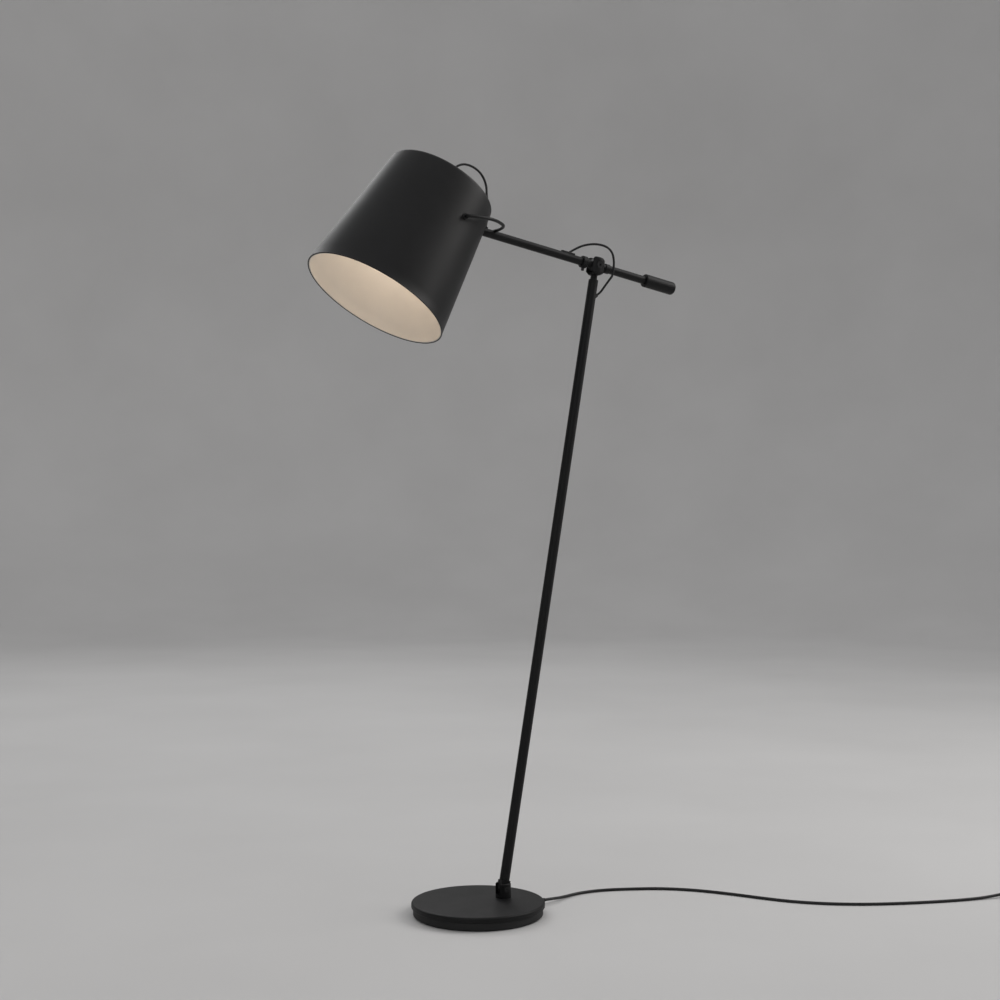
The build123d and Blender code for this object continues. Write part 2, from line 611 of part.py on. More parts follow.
def arm_entry():
    """Low rubber saddle on top of the arm, where the lead goes in."""
    saddle = block(ENTRY_L, ENTRY_W, 0, ARM_D / 2 + ENTRY_H)
    saddle = fillet(saddle.edges().filter_by(Axis.Z), ENTRY_W / 2 - 0.2)
    saddle = fillet(saddle.edges().group_by(Axis.Z)[-1], 1.6)
    saddle -= rod(ARM_D + 2 * FIT_GAP, -ENTRY_L, ENTRY_L, "x")
    bore = rod(LEAD_D + 2 * FIT_GAP, -ENTRY_L, ENTRY_L)
    bore = Location((0, 0, ARM_D / 2), (0, ENTRY_SLANT, 0)) * bore
    return HEAD_PLACE * (Pos(-ENTRY_X, 0, 0) * (saddle - bore))


def tip_grommet():
    outer = ARM_D / 2
    body = rod(LEAD_D + 2.4 - 2 * FIT_GAP, outer - ARM_WALL - 0.6, outer + 1.0)
    flange = rod(LEAD_D + 4.4, outer - 1.0, outer + TIP_GROMMET_H)
    body += flange - rod(ARM_D + 2 * FIT_GAP, -ARM_D, ARM_D, "x")
    body -= rod(LEAD_D + 2 * FIT_GAP, 0, ARM_D)
    return HEAD_PLACE * (Pos(-TIP_HOLE_X, 0, 0) * body)


def arm_insert():
    """Solid insert inside the arm under the yoke's rod, with a passage for the lead."""
    low = -YOKE_CROSS_X - INSERT_L / 2
    body = rod(ARM_BORE_D - 2 * FIT_GAP, low, low + INSERT_L, "x")
    body -= yoke_notch()
    body -= rod(LEAD_D + 0.8, low - 1, low + INSERT_L + 1, "x").moved(Location((0, 0, ARM_LEAD_Z)))
    return HEAD_PLACE * body


def arm_tip_cap():
    disc = rod(ARM_D, -ARM_REACH - TIP_CAP_T, -ARM_REACH, "x")
    disc = fillet(disc.edges().group_by(Axis.X)[0], 1.2)
    plug = rod(ARM_BORE_D - 2 * FIT_GAP, -ARM_REACH, -ARM_REACH + TIP_PLUG_L, "x")
    return HEAD_PLACE * (disc + plug)


def arm_lead():
    """The lead inside the arm, from the saddle to the tip grommet."""
    slant = math.radians(ENTRY_SLANT)
    low = ARM_LEAD_Z
    mouth = (-ENTRY_X + ENTRY_REACH * math.sin(slant), 0, ARM_D / 2 + ENTRY_REACH * math.cos(slant))
    bend = (-ENTRY_X - (ARM_D / 2 - low) * math.tan(slant), 0, low)
    top = ARM_D / 2 + TIP_GROMMET_H
    path = FilletPolyline(mouth, bend, (-TIP_HOLE_X, 0, low), (-TIP_HOLE_X, 0, top), radius=[8.0, 3.0])
    section = Plane(origin=path @ 0, z_dir=path % 0) * Circle(LEAD_D / 2)
    return HEAD_PLACE * sweep(section, path=path)


def yoke_nuts():
    low = BUSH_INNER_Y - 0.4 - YOKE_NUT_T
    nuts = []
    for side in (1, -1):
        span = sorted((side * low, side * (low + YOKE_NUT_T)))
        nuts.append(HEAD_PLACE * (YOKE_PLACE * ring(YOKE_NUT_D, ROD_D + 2 * FIT_GAP, *span, "y")))
    return group(*nuts)


# ---------------------------------------------------------------- shade, about its own pivots
def outer_radius(height):
    """Outer radius of the cone at a height from the shade's pivots."""
    return SHADE_TOP_R + SHADE_SLOPE * (SHADE_TOP - height)


def shade_bell(inset, shoulder):
    """The solid inside the shade's outer face, moved inwards by inset."""
    mouth = SHADE_TOP - SHADE_H
    top = SHADE_TOP - inset
    profile = Polyline(
        (0, mouth),
        (outer_radius(mouth) - inset, mouth),
        (outer_radius(top) - inset, top),
        (0, top),
        close=True,
    )
    bell = revolve(Plane.XZ * make_face(profile), Axis.Z)
    return fillet(bell.edges().filter_by(GeomType.CIRCLE).group_by(Axis.Z)[-1], shoulder)


def pivot_holes(diameter):
    return Pos(-SHADE_AXIS_X, 0, 0) * rod(diameter, -SHADE_MOUTH_R, SHADE_MOUTH_R, "y")


def shade_shell():
    shell = shade_bell(0, SHADE_SHOULDER_R) - shade_bell(SHADE_WALL, SHADE_SHOULDER_R - SHADE_WALL)
    mouth = SHADE_TOP - SHADE_H
    bead = Plane.XZ * (Pos(SHADE_MOUTH_R - SHADE_WALL / 2, mouth) * Circle(SHADE_BEAD_R))
    shell += revolve(bead, Axis.Z)
    shell -= rod(NIPPLE_D + 2 * FIT_GAP, 0, SHADE_TOP + 1)
    shell -= pivot_holes(BUSH_D + 2 * FIT_GAP)
    return SHADE_PLACE * (Pos(SHADE_AXIS_X, 0, 0) * shell)


def shade_liner():
    """Thin light-coloured reflector inside the shell."""
    outside = SHADE_WALL + FIT_GAP
    shoulder = SHADE_SHOULDER_R - outside
    liner = shade_bell(outside, shoulder) - shade_bell(outside + LINER_T, shoulder - LINER_T)
    mouth = SHADE_TOP - SHADE_H
    liner -= rod(4 * SHADE_MOUTH_R, mouth - 1, mouth + SHADE_BEAD_R + 0.2)
    liner -= rod(NIPPLE_D + 2 * FIT_GAP, 0, SHADE_TOP + 1)
    liner -= pivot_holes(BUSH_D + 2 * FIT_GAP)
    return SHADE_PLACE * (Pos(SHADE_AXIS_X, 0, 0) * liner)


def pivot_bushes():
    """Plastic bushes in the sides of the shade, for the ends of the yoke."""
    skin = Pos(SHADE_AXIS_X, 0, 0) * shade_bell(-FIT_GAP, SHADE_SHOULDER_R)
    bushes = []
    for side in (1, -1):
        stem = rod(BUSH_D, *sorted((side * BUSH_INNER_Y, side * BUSH_HEAD_Y)), "y")
        head = rod(BUSH_HEAD_D, *sorted((side * BUSH_INNER_Y, side * BUSH_HEAD_Y)), "y") - skin
        head = max(head.solids(), key=lambda s: abs(s.center().Y))
        bore = rod(ROD_D + 2 * RUN_GAP, -SHADE_MOUTH_R, SHADE_MOUTH_R, "y")
        bushes.append(SHADE_PLACE * (stem + head - bore))
    return group(*bushes)


def on_shade_axis(solid):
    return SHADE_PLACE * (Pos(SHADE_AXIS_X, 0, 0) * solid)


def shade_nipple():
    return on_shade_axis(ring(NIPPLE_D, NIPPLE_BORE_D, SHADE_TOP - NIPPLE_DOWN, SHADE_TOP + NIPPLE_UP))


def cable_gland():
    """Dome nut on top of the shade, which the lead comes out of."""
    nut = rod(GLAND_D, SHADE_TOP, SHADE_TOP + GLAND_H)
    nut = fillet(nut.edges().group_by(Axis.Z)[-1], 3.0)
    nut -= rod(NIPPLE_D + 2 * FIT_GAP, SHADE_TOP - 1, SHADE_TOP + NIPPLE_UP)
    nut -= rod(LEAD_D + 2 * FIT_GAP, SHADE_TOP, SHADE_TOP + GLAND_H + 1)
    return on_shade_axis(nut)


def shade_nut():
    """Flat nut that clamps the shell and the liner to the nipple."""
    high = SHADE_TOP - SHADE_WALL - FIT_GAP - LINER_T
    nut = hexagon(HOLDER_NUT_D * math.sqrt(3) / 2, high - 3.0, high)
    return on_shade_axis(nut - rod(NIPPLE_D + 2 * FIT_GAP, high - 4, high + 1))


def lampholder():
    high = SHADE_TOP - HOLDER_GAP
    low = high - HOLDER_L
    body = rod(HOLDER_D, low, high - 12)
    body += cone(HOLDER_D, 24.0, high - 12, high)
    body -= rod(HOLDER_MOUTH_D, low - 1, low + HOLDER_MOUTH_DEPTH)
    body -= rod(NIPPLE_D + 2 * FIT_GAP, SHADE_TOP - NIPPLE_DOWN - 0.2, high + 1)
    return on_shade_axis(body)


def holder_ring():
    low = SHADE_TOP - HOLDER_GAP - HOLDER_L
    body = ring(HOLDER_D + 8, HOLDER_D + 2 * FIT_GAP, low + 6, low + 12)
    body = chamfer(body.edges().group_by(Axis.Z)[-1], 1.0)
    return on_shade_axis(body)


def bulb_seat():
    """Height where the bulb's cap meets its glass."""
    return SHADE_TOP - HOLDER_GAP - HOLDER_L + 1.0


def bulb_cap():
    seat = bulb_seat()
    cap = rod(BULB_CAP_D, seat, seat + BULB_CAP_L - 4)
    cap += cone(BULB_CAP_D, 12.0, seat + BULB_CAP_L - 4, seat + BULB_CAP_L)
    return on_shade_axis(cap)


def bulb_glass():
    """Pear-shaped glass: a ball and a neck that narrows into the cap."""
    seat = bulb_seat()
    radius = BULB_D / 2
    centre_z = seat - BULB_L + radius
    neck_r = BULB_CAP_D / 2 - 0.3

    def pear(inset):
        ball = radius - inset
        turn = 25.0
        leave = (ball * math.cos(math.radians(turn)), centre_z + ball * math.sin(math.radians(turn)))
        bottom = (0, centre_z - ball)
        side = (ball * math.cos(math.radians(-30)), centre_z + ball * math.sin(math.radians(-30)))
        flow = (-math.sin(math.radians(turn)), math.cos(math.radians(turn)))
        outline = ThreePointArc(bottom, side, leave)
        outline += Spline(leave, (neck_r - inset, seat), tangents=(flow, (0, 1)))
        outline += Line((neck_r - inset, seat), (0, seat))
        outline += Line((0, seat), bottom)
        return revolve(Plane.XZ * make_face(outline), Axis.Z)

    return on_shade_axis(pear(0) - pear(BULB_WALL))


def shade_lead():
    """The lead inside the nipple, down to the lampholder."""
    low = SHADE_TOP - NIPPLE_DOWN
    return on_shade_axis(rod(LEAD_D, low, SHADE_TOP + GLAND_H - 0.8))


# ---------------------------------------------------------------- leads outside the tubes
# Points in the frame of the arm pivot: x along the arm, z along the post.
JOINT_LOOP_TOP = [
    (-63.0, 0, 11.0),
    (-54.6, 0, 18.05),
    (-40.0, -8.0, 29.5),
    (-17.5, -16.5, 37.5),
    (8.0, -22.5, 37.0),
    (23.9, -24.0, 23.0),
    (26.6, -23.6, 5.0),
]
JOINT_LOOP_SIDE = [
    (26.6, -23.6, 5.0),
    (29.3, -23.2, -13.0),
    (24.5, -17.0, -26.0),
    (22.0, -8.0, -38.0),
    (19.2, 0, -50.37),
    (12.564, 0, -55.93),
]
SHADE_LOOP = [
    (-353.75, 0, 70.4),
    (-344.5, 0, 93.0),
    (-325.5, 0, 112.5),
    (-302.5, 0, 115.0),
    (-280.5, 0, 107.0),
    (-266.0, 0, 89.5),
    (-261.5, 0, 67.5),
    (-254.5, 0, 47.5),
    (-253.3, 0, 29.0),
    (-253.3, 0, 10.0),
]
# Points on the floor, in the lamp's own frame.
CORD_REST = CORD_D / 2 + FLOOR_GAP
FLOOR_ROUTE = [
    (WEIGHT_D / 2 + BOOT_L, 0, GLAND_Z),
    (167, 0, GLAND_Z),
    (198, 16, CORD_REST + 1.2),
    (247, 33, CORD_REST),
    (300, 29, CORD_REST),
    (352, 8, CORD_REST),
    (402, -16, CORD_REST),
    (444, -51, CORD_REST),
    (476, -90, CORD_REST),
    (505, -136, CORD_REST),
    (533, -187, CORD_REST),
    (566, -237, CORD_REST),
    (610, -280, CORD_REST),
    (662, -316, CORD_REST),
    (722, -345, CORD_REST),
    (790, -371, CORD_REST),
    (860, -392, CORD_REST),
    (918, -403, CORD_REST + 0.6),
]


def head_points(points):
    return [tuple((HEAD_PLACE * Location(p)).position) for p in points]


def switch_place():
    return Location((SWITCH_CENTRE[0], SWITCH_CENTRE[1], 0), (0, 0, SWITCH_TURN))


def joint_lead_top():
    return cord("joint_lead_top", head_points(JOINT_LOOP_TOP), LEAD_D)


def joint_lead_side():
    return cord("joint_lead_side", head_points(JOINT_LOOP_SIDE), LEAD_D)


def shade_lead_loop():
    return cord("shade_lead_loop", head_points(SHADE_LOOP), LEAD_D)


def floor_cord():
    port = (switch_place() * Location((-SWITCH_L / 2, 0, SWITCH_SPLIT))).position
    return cord("floor_cord", FLOOR_ROUTE + [tuple(port)], CORD_D)


def coil_ring():
    """Outer shape of the neat coil of spare cord."""
    half = COIL_COLUMNS * CORD_D / 2
    height = COIL_LAYERS * CORD_D
    body = ring(2 * (COIL_R + half), 2 * (COIL_R - half), FLOOR_GAP, height)
    body = fillet(body.edges().filter_by(GeomType.CIRCLE), CORD_D / 2 - 0.3)
    return Pos(*COIL_CENTRE, 0) * body


def cord_to_coil():
    place = switch_place()
    port = (place * Location((SWITCH_L / 2, 0, SWITCH_SPLIT))).position
    lead_in = (place * Location((SWITCH_L / 2 + 14, 0, SWITCH_SPLIT))).position
    edge_x = COIL_CENTRE[0] + COIL_R + CORD_D / 2
    points = [
        tuple(port),
        tuple(lead_in),
        (1038, -437, CORD_REST + 2.0),
        (1031, -458, CORD_REST),
        (edge_x, COIL_CENTRE[1], CORD_REST),
    ]
    return cord("cord_to_coil", points, CORD_D)


def plug_place():
    return Location((PLUG_END[0], PLUG_END[1], 0), (0, 0, PLUG_TURN))


def cord_to_plug():
    place = plug_place()
    port = (place * Location((-PLUG_NECK_L, 0, PLUG_T / 2))).position
    lead_in = (place * Location((-PLUG_NECK_L - 14, 0, PLUG_T / 2))).position
    edge_y = COIL_CENTRE[1] - COIL_R - CORD_D / 2
    points = [
        (COIL_CENTRE[0], edge_y, CORD_REST + CORD_D),
        (964, -515.5, CORD_REST + CORD_D - 0.3),
        tuple(lead_in),
        tuple(port),
    ]
    return cord("cord_to_plug", points, CORD_D)


# ---------------------------------------------------------------- foot switch on the cord
def switch_outline(length, width, low, high, edge_r):
    body = Box(length, width, high - low, align=ON_FLOOR)
    body = fillet(body.edges().filter_by(Axis.Z), edge_r)
    return Pos(0, 0, low) * body


def switch_cut():
    """Hollow of the housing, the bores for the cord and the well for the button."""
    wall = 2 * SWITCH_WALL
    hollow = switch_outline(SWITCH_L - wall - 12, SWITCH_W - wall, SWITCH_WALL, SWITCH_H - SWITCH_WALL, 4.0)
    bore = rod(CORD_D + 2 * FIT_GAP, -SWITCH_L, SWITCH_L, "x").moved(Location((0, 0, SWITCH_SPLIT)))
    well = rod(BUTTON_D + 2 * SIDE_GAP, SWITCH_SPLIT, SWITCH_H + 1)
    return hollow + bore + well


def switch_base():
    body = switch_outline(SWITCH_L, SWITCH_W, 0, SWITCH_SPLIT, 9.0)
    body = chamfer(body.edges().group_by(Axis.Z)[0], 0.8)
    return switch_place() * (body - switch_cut())


def switch_cover():
    body = switch_outline(SWITCH_L, SWITCH_W, SWITCH_SPLIT, SWITCH_H, 9.0)
    body = fillet(body.edges().group_by(Axis.Z)[-1], 3.5)
    return switch_place() * (body - switch_cut())


def switch_button():
    ceiling = SWITCH_H - SWITCH_WALL
    stem = rod(BUTTON_D, ceiling - SIDE_GAP - BUTTON_FLANGE_T, SWITCH_H + BUTTON_PROUD)
    stem = fillet(stem.edges().group_by(Axis.Z)[-1], 1.2)
    flange = rod(BUTTON_FLANGE_D, ceiling - SIDE_GAP - BUTTON_FLANGE_T, ceiling - SIDE_GAP)
    return switch_place() * (stem + flange)


def switch_contacts():
    """Contact block under the button, on the floor of the housing."""
    top = SWITCH_H - SWITCH_WALL - SIDE_GAP - BUTTON_FLANGE_T - BUTTON_TRAVEL - 1.5
    return switch_place() * block(16, 12, SWITCH_WALL, top)


# ---------------------------------------------------------------- plug on the cord
def plug_body():
    """Flat two-pin plug with a tapered neck, lying on the floor."""
    body = block(PLUG_L, PLUG_W, 0, PLUG_T).moved(Location((PLUG_L / 2, 0, 0)))
    body = fillet(body.edges().filter_by(Axis.Z).group_by(Axis.X)[0], 11.0)
    body = fillet(body.edges().group_by(Axis.Z)[-1], 2.5)
    neck = cone(CORD_D + 2.4, 11.0, -PLUG_NECK_L, 1.0, "x").moved(Location((0, 0, PLUG_T / 2)))
    body += neck
    mouth = rod(CORD_D + 2 * FIT_GAP, -PLUG_NECK_L - 1, -PLUG_NECK_L + 0.1, "x")
    body -= mouth.moved(Location((0, 0, PLUG_T / 2)))
    for side in (1, -1):
        hole = rod(PIN_D + 2 * FIT_GAP, PLUG_L - 12, PLUG_L + 1, "x")
        body -= hole.moved(Location((0, side * PIN_SPACING / 2, PLUG_T / 2)))
    return plug_place() * body


def plug_pins():
    pins = []
    for side in (1, -1):
        pin = rod(PIN_D, PLUG_L - 12, PLUG_L + PIN_L, "x")
        pin = fillet(pin.edges().group_by(Axis.X)[-1], 1.6)
        pins.append(plug_place() * pin.moved(Location((0, side * PIN_SPACING / 2, PLUG_T / 2))))
    return group(*pins)


# ---------------------------------------------------------------- write every sub-part
MAKERS = [
    base_pad,
    base_weight,
    base_plate,
    base_screws,
    foot_stud,
    foot_nut,
    foot_clevis,
    foot_pivot_screws,
    cord_gland,
    base_lead,
    post_foot,
    post_tube,
    post_cap,
    post_grommet,
    post_lead,
    knuckle_body,
    tilt_screw,
    tilt_nut,
    friction_washers,
    spindle_nut,
    arm_tube,
    arm_hub,
    left_collar,
    right_collar,
    lock_screw,
    counterweight,
    counterweight_screw,
    arm_entry,
    arm_insert,
    tip_grommet,
    arm_tip_cap,
    arm_lead,
    yoke,
    yoke_nuts,
    shade_shell,
    shade_liner,
    pivot_bushes,
    shade_nipple,
    cable_gland,
    shade_nut,
    lampholder,
    holder_ring,
    bulb_cap,
    bulb_glass,
    shade_lead,
    joint_lead_top,
    joint_lead_side,
    shade_lead_loop,
    floor_cord,
    coil_ring,
    cord_to_coil,
    cord_to_plug,
    switch_base,
    switch_cover,
    switch_button,
    switch_contacts,
    plug_body,
    plug_pins,
]

for maker in MAKERS:
    export_step(maker(), f"parts/{maker.__name__}.step")

for name, radii in CORD_RADII.items():
    print(name, "bend radii", radii)
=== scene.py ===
import json
import math

import bmesh
import bpy
import numpy as np
from mathutils import Matrix, Vector


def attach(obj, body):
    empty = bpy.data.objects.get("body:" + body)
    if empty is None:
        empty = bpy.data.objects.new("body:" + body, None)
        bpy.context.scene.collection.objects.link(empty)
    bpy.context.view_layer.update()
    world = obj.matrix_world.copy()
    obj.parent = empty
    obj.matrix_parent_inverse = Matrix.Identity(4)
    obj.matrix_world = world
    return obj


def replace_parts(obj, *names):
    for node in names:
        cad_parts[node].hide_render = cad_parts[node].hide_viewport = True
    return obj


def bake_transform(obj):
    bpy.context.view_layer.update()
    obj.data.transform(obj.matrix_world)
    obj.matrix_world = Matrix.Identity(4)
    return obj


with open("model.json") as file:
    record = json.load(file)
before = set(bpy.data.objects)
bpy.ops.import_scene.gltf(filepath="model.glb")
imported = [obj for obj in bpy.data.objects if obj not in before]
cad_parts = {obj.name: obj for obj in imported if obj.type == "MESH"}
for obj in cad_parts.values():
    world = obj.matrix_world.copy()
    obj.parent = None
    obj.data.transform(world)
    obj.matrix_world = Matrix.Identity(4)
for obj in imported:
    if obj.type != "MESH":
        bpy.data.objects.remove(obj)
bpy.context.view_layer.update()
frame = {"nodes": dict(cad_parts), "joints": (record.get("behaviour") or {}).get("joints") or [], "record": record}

MM = 0.001

# ------------------------------------------------------------------ frames of the parts
JOINTS = {joint["name"]: joint for joint in frame["joints"]}
POST_LEAN = math.radians(10.0)
SHADE_LEAN = math.radians(32.2)
SHADE_AXIS_X = -29.6 * MM
HEAD = Matrix.Translation(JOINTS["arm_tilt"]["pos_m"]) @ Matrix.Rotation(POST_LEAN, 4, "Y")
SHADE = (
    Matrix.Translation(JOINTS["shade_tilt"]["pos_m"])
    @ Matrix.Rotation(SHADE_LEAN, 4, "Y")
    @ Matrix.Translation((SHADE_AXIS_X, 0, 0))
)

# ------------------------------------------------------------------ camera
CAMERA_AT = (-1.486, -2.593, 0.775)
CAMERA_ALONG = Vector((0.509, 0.8607, 0.0))
camera_data = bpy.data.cameras.new("camera")
camera_data.lens = 57.56
camera_data.sensor_width = 36.0
camera_data.clip_start = 0.05
camera_data.clip_end = 200.0
camera = bpy.data.objects.new("camera", camera_data)
camera.location = CAMERA_AT
camera.rotation_mode = "QUATERNION"
camera.rotation_quaternion = CAMERA_ALONG.to_track_quat("-Z", "Y")
bpy.context.scene.collection.objects.link(camera)
bpy.context.scene.camera = camera


# ------------------------------------------------------------------ cords
CORD_D = 5.6 * MM
LEAD_D = 4.4 * MM


def route_curve(name, points, diameter):
    """A round cord on one open NURBS spline with these control points."""
    data = bpy.data.curves.new(name, "CURVE")
    data.dimensions = "3D"
    spline = data.splines.new("NURBS")
    spline.points.add(len(points) - 1)
    for place, point in zip(spline.points, points):
        place.co = (*point, 1.0)
    spline.order_u = 3
    spline.use_endpoint_u = True
    spline.resolution_u = 12
    data.bevel_depth = diameter / 2
    data.bevel_resolution = 8
    data.use_fill_caps = True
    curve = bpy.data.objects.new(name, data)
    bpy.context.scene.collection.objects.link(curve)
    return curve


def centreline(curve):
    """The points that the curve's line passes through."""
    depth = curve.data.bevel_depth
    curve.data.bevel_depth = 0.0
    bpy.context.view_layer.update()
    line = bpy.data.meshes.new_from_object(curve)
    points = [tuple(v.co) for v in line.vertices]
    bpy.data.meshes.remove(line)
    curve.data.bevel_depth = depth
    return points


def as_mesh(curve):
    """Turns a curve object into a mesh tube of the same name, and gives it and its line."""
    line = centreline(curve)
    bpy.context.view_layer.update()
    mesh = bpy.data.meshes.new_from_object(curve)
    name = curve.name
    data = curve.data
    bpy.data.objects.remove(curve)
    bpy.data.curves.remove(data)
    tube = bpy.data.objects.new(name, mesh)
    mesh.shade_smooth()
    bpy.context.scene.collection.objects.link(tube)
    return tube, line


def in_head(points):
    return [HEAD @ (Vector(p) * MM) for p in points]


# Points in millimetres on the floor. The cord rests with its middle CORD_REST high.
CORD_REST = 2.9
GLAND_Z = 9.0
FLOOR_ROUTE = [
    (147, 0, GLAND_Z),
    (167, 0, GLAND_Z),
    (198, 16, CORD_REST + 1.2),
    (247, 33, CORD_REST),
    (300, 29, CORD_REST),
    (352, 8, CORD_REST),
    (402, -16, CORD_REST),
    (444, -51, CORD_REST),
    (476, -90, CORD_REST),
    (505, -136, CORD_REST),
    (533, -187, CORD_REST),
    (566, -237, CORD_REST),
    (610, -280, CORD_REST),
    (662, -316, CORD_REST),
    (722, -345, CORD_REST),
    (790, -371, CORD_REST),
    (860, -392, CORD_REST),
    (918, -403, CORD_REST + 0.6),
]
SWITCH = Matrix.Translation((986.0, -417.0, 0)) @ Matrix.Rotation(math.radians(-9.0), 4, "Z")
PLUG = Matrix.Translation((915.0, -505.0, 0)) @ Matrix.Rotation(math.radians(170.0), 4, "Z")
SWITCH_PORT = 30.0  # half of the switch's length
SWITCH_PORT_Z = 9.0
PLUG_PORT = -14.0  # end of the plug's neck
PLUG_PORT_Z = 7.0
LEAD_IN = 14.0  # straight cord at the switch and at the plug
COIL_CENTRE = (985.0, -478.0)
# Radius and height of the cord's middle in each layer of turns.
COIL_SLOTS = [(33.8, 2.9), (28.2, 2.9), (28.2, 8.5), (28.2, 14.1), (33.8, 14.1), (33.8, 8.5)]
COIL_TURNS = 5.25
COIL_STEP = 20.0  # degrees between control points
COIL_CHANGE = 60.0  # degrees in which the cord moves to the next slot


def coil_points():
    """Control points of the put-away turns, clockwise from above, from the +X side of the coil."""
    whole = COIL_TURNS * 360.0
    changes = len(COIL_SLOTS) - 1
    hold = (whole - changes * COIL_CHANGE) / len(COIL_SLOTS)
    spread = 1 / math.cos(math.radians(COIL_STEP / 2))
    points = []
    for i in range(round(whole / COIL_STEP) + 1):
        angle = min(i * COIL_STEP, whole)
        at = int(angle // (hold + COIL_CHANGE))
        at = min(at, changes)
        share = max(0.0, (angle - at * (hold + COIL_CHANGE) - hold) / COIL_CHANGE)
        share = min(share, 1.0)
        share = share * share * (3 - 2 * share)
        here, after = COIL_SLOTS[at], COIL_SLOTS[min(at + 1, changes)]
        radius = (here[0] + (after[0] - here[0]) * share) * spread
        height = here[1] + (after[1] - here[1]) * share
        turn = -math.radians(angle)
        points.append(
            (
                COIL_CENTRE[0] + radius * math.cos(turn),
                COIL_CENTRE[1] + radius * math.sin(turn),
                height,
            )
        )
    return points


def metres(points):
    return [tuple(Vector(p) * MM) for p in points]


first_route = FLOOR_ROUTE + [SWITCH @ Vector((-SWITCH_PORT, 0, SWITCH_PORT_Z))]
second_route = [
    SWITCH @ Vector((SWITCH_PORT, 0, SWITCH_PORT_Z)),
    SWITCH @ Vector((SWITCH_PORT + LEAD_IN, 0, SWITCH_PORT_Z)),
    (1038, -437, CORD_REST + 2.0),
    (1031, -458, CORD_REST),
    *coil_points(),
    (964, -515.5, CORD_REST + 5.3),
    PLUG @ Vector((PLUG_PORT - LEAD_IN, 0, PLUG_PORT_Z)),
    PLUG @ Vector((PLUG_PORT, 0, PLUG_PORT_Z)),
]
mains_cord, mains_line = as_mesh(route_curve("mains_cord", metres(first_route), CORD_D))
coiled_cord, coiled_line = as_mesh(route_curve("coiled_cord", metres(second_route), CORD_D))

# Points in millimetres in the frame of the arm pivot: x along the arm, z along the post.
JOINT_LOOP_TOP = [
    (-63.0, 0, 11.0),
    (-54.6, 0, 18.05),
    (-40.0, -8.0, 29.5),
    (-17.5, -16.5, 37.5),
    (8.0, -22.5, 37.0),
    (23.9, -24.0, 23.0),
    (26.6, -23.6, 5.0),
]
JOINT_LOOP_SIDE = [
    (26.6, -23.6, 5.0),
    (29.3, -23.2, -13.0),
    (24.5, -17.0, -26.0),
    (22.0, -8.0, -38.0),
    (19.2, 0, -50.37),
    (12.564, 0, -55.93),
]
SHADE_LOOP = [
    (-353.75, 0, 70.4),
    (-344.5, 0, 93.0),
    (-325.5, 0, 112.5),
    (-302.5, 0, 115.0),
    (-280.5, 0, 107.0),
    (-266.0, 0, 89.5),
    (-261.5, 0, 67.5),
    (-254.5, 0, 47.5),
    (-253.3, 0, 29.0),
    (-253.3, 0, 10.0),
]
lead_top, lead_top_line = as_mesh(route_curve("lead_over_joint", in_head(JOINT_LOOP_TOP), LEAD_D))
lead_side, lead_side_line = as_mesh(route_curve("lead_beside_post", in_head(JOINT_LOOP_SIDE), LEAD_D))
lead_shade, lead_shade_line = as_mesh(route_curve("lead_to_shade", in_head(SHADE_LOOP), LEAD_D))


# ------------------------------------------------------------------ materials
def new_material(name):
    material = bpy.data.materials.new(name)
    material.use_nodes = True
    nodes = material.node_tree.nodes
    shader = nodes["Principled BSDF"]
    return material, nodes, material.node_tree.links, shader


def noise(nodes, links, where, scale, detail=2.0, roughness=0.5):
    texture = nodes.new("ShaderNodeTexNoise")
    texture.inputs["Scale"].default_value = scale
    texture.inputs["Detail"].default_value = detail
    texture.inputs["Roughness"].default_value = roughness
    links.new(where, texture.inputs["Vector"])
    return texture.outputs["Fac"]


def spread_range(nodes, links, value, low, high):
    """Maps the middle of a noise to low..high."""
    node = nodes.new("ShaderNodeMapRange")
    node.inputs["From Min"].default_value = 0.3
    node.inputs["From Max"].default_value = 0.7
    node.inputs["To Min"].default_value = low
    node.inputs["To Max"].default_value = high
    links.new(value, node.inputs["Value"])
    return node.outputs["Result"]


def two_tone(nodes, links, value, dark, light):
    ramp = nodes.new("ShaderNodeValToRGB")
    ramp.color_ramp.elements[0].position = 0.32
    ramp.color_ramp.elements[0].color = (*dark, 1.0)
    ramp.color_ramp.elements[1].position = 0.68
    ramp.color_ramp.elements[1].color = (*light, 1.0)
    links.new(value, ramp.inputs["Fac"])
    return ramp.outputs["Color"]


def bump(nodes, links, height, strength, distance, before=None):
    node = nodes.new("ShaderNodeBump")
    node.inputs["Strength"].default_value = strength
    node.inputs["Distance"].default_value = distance
    links.new(height, node.inputs["Height"])
    if before is not None:
        links.new(before, node.inputs["Normal"])
    return node.outputs["Normal"]


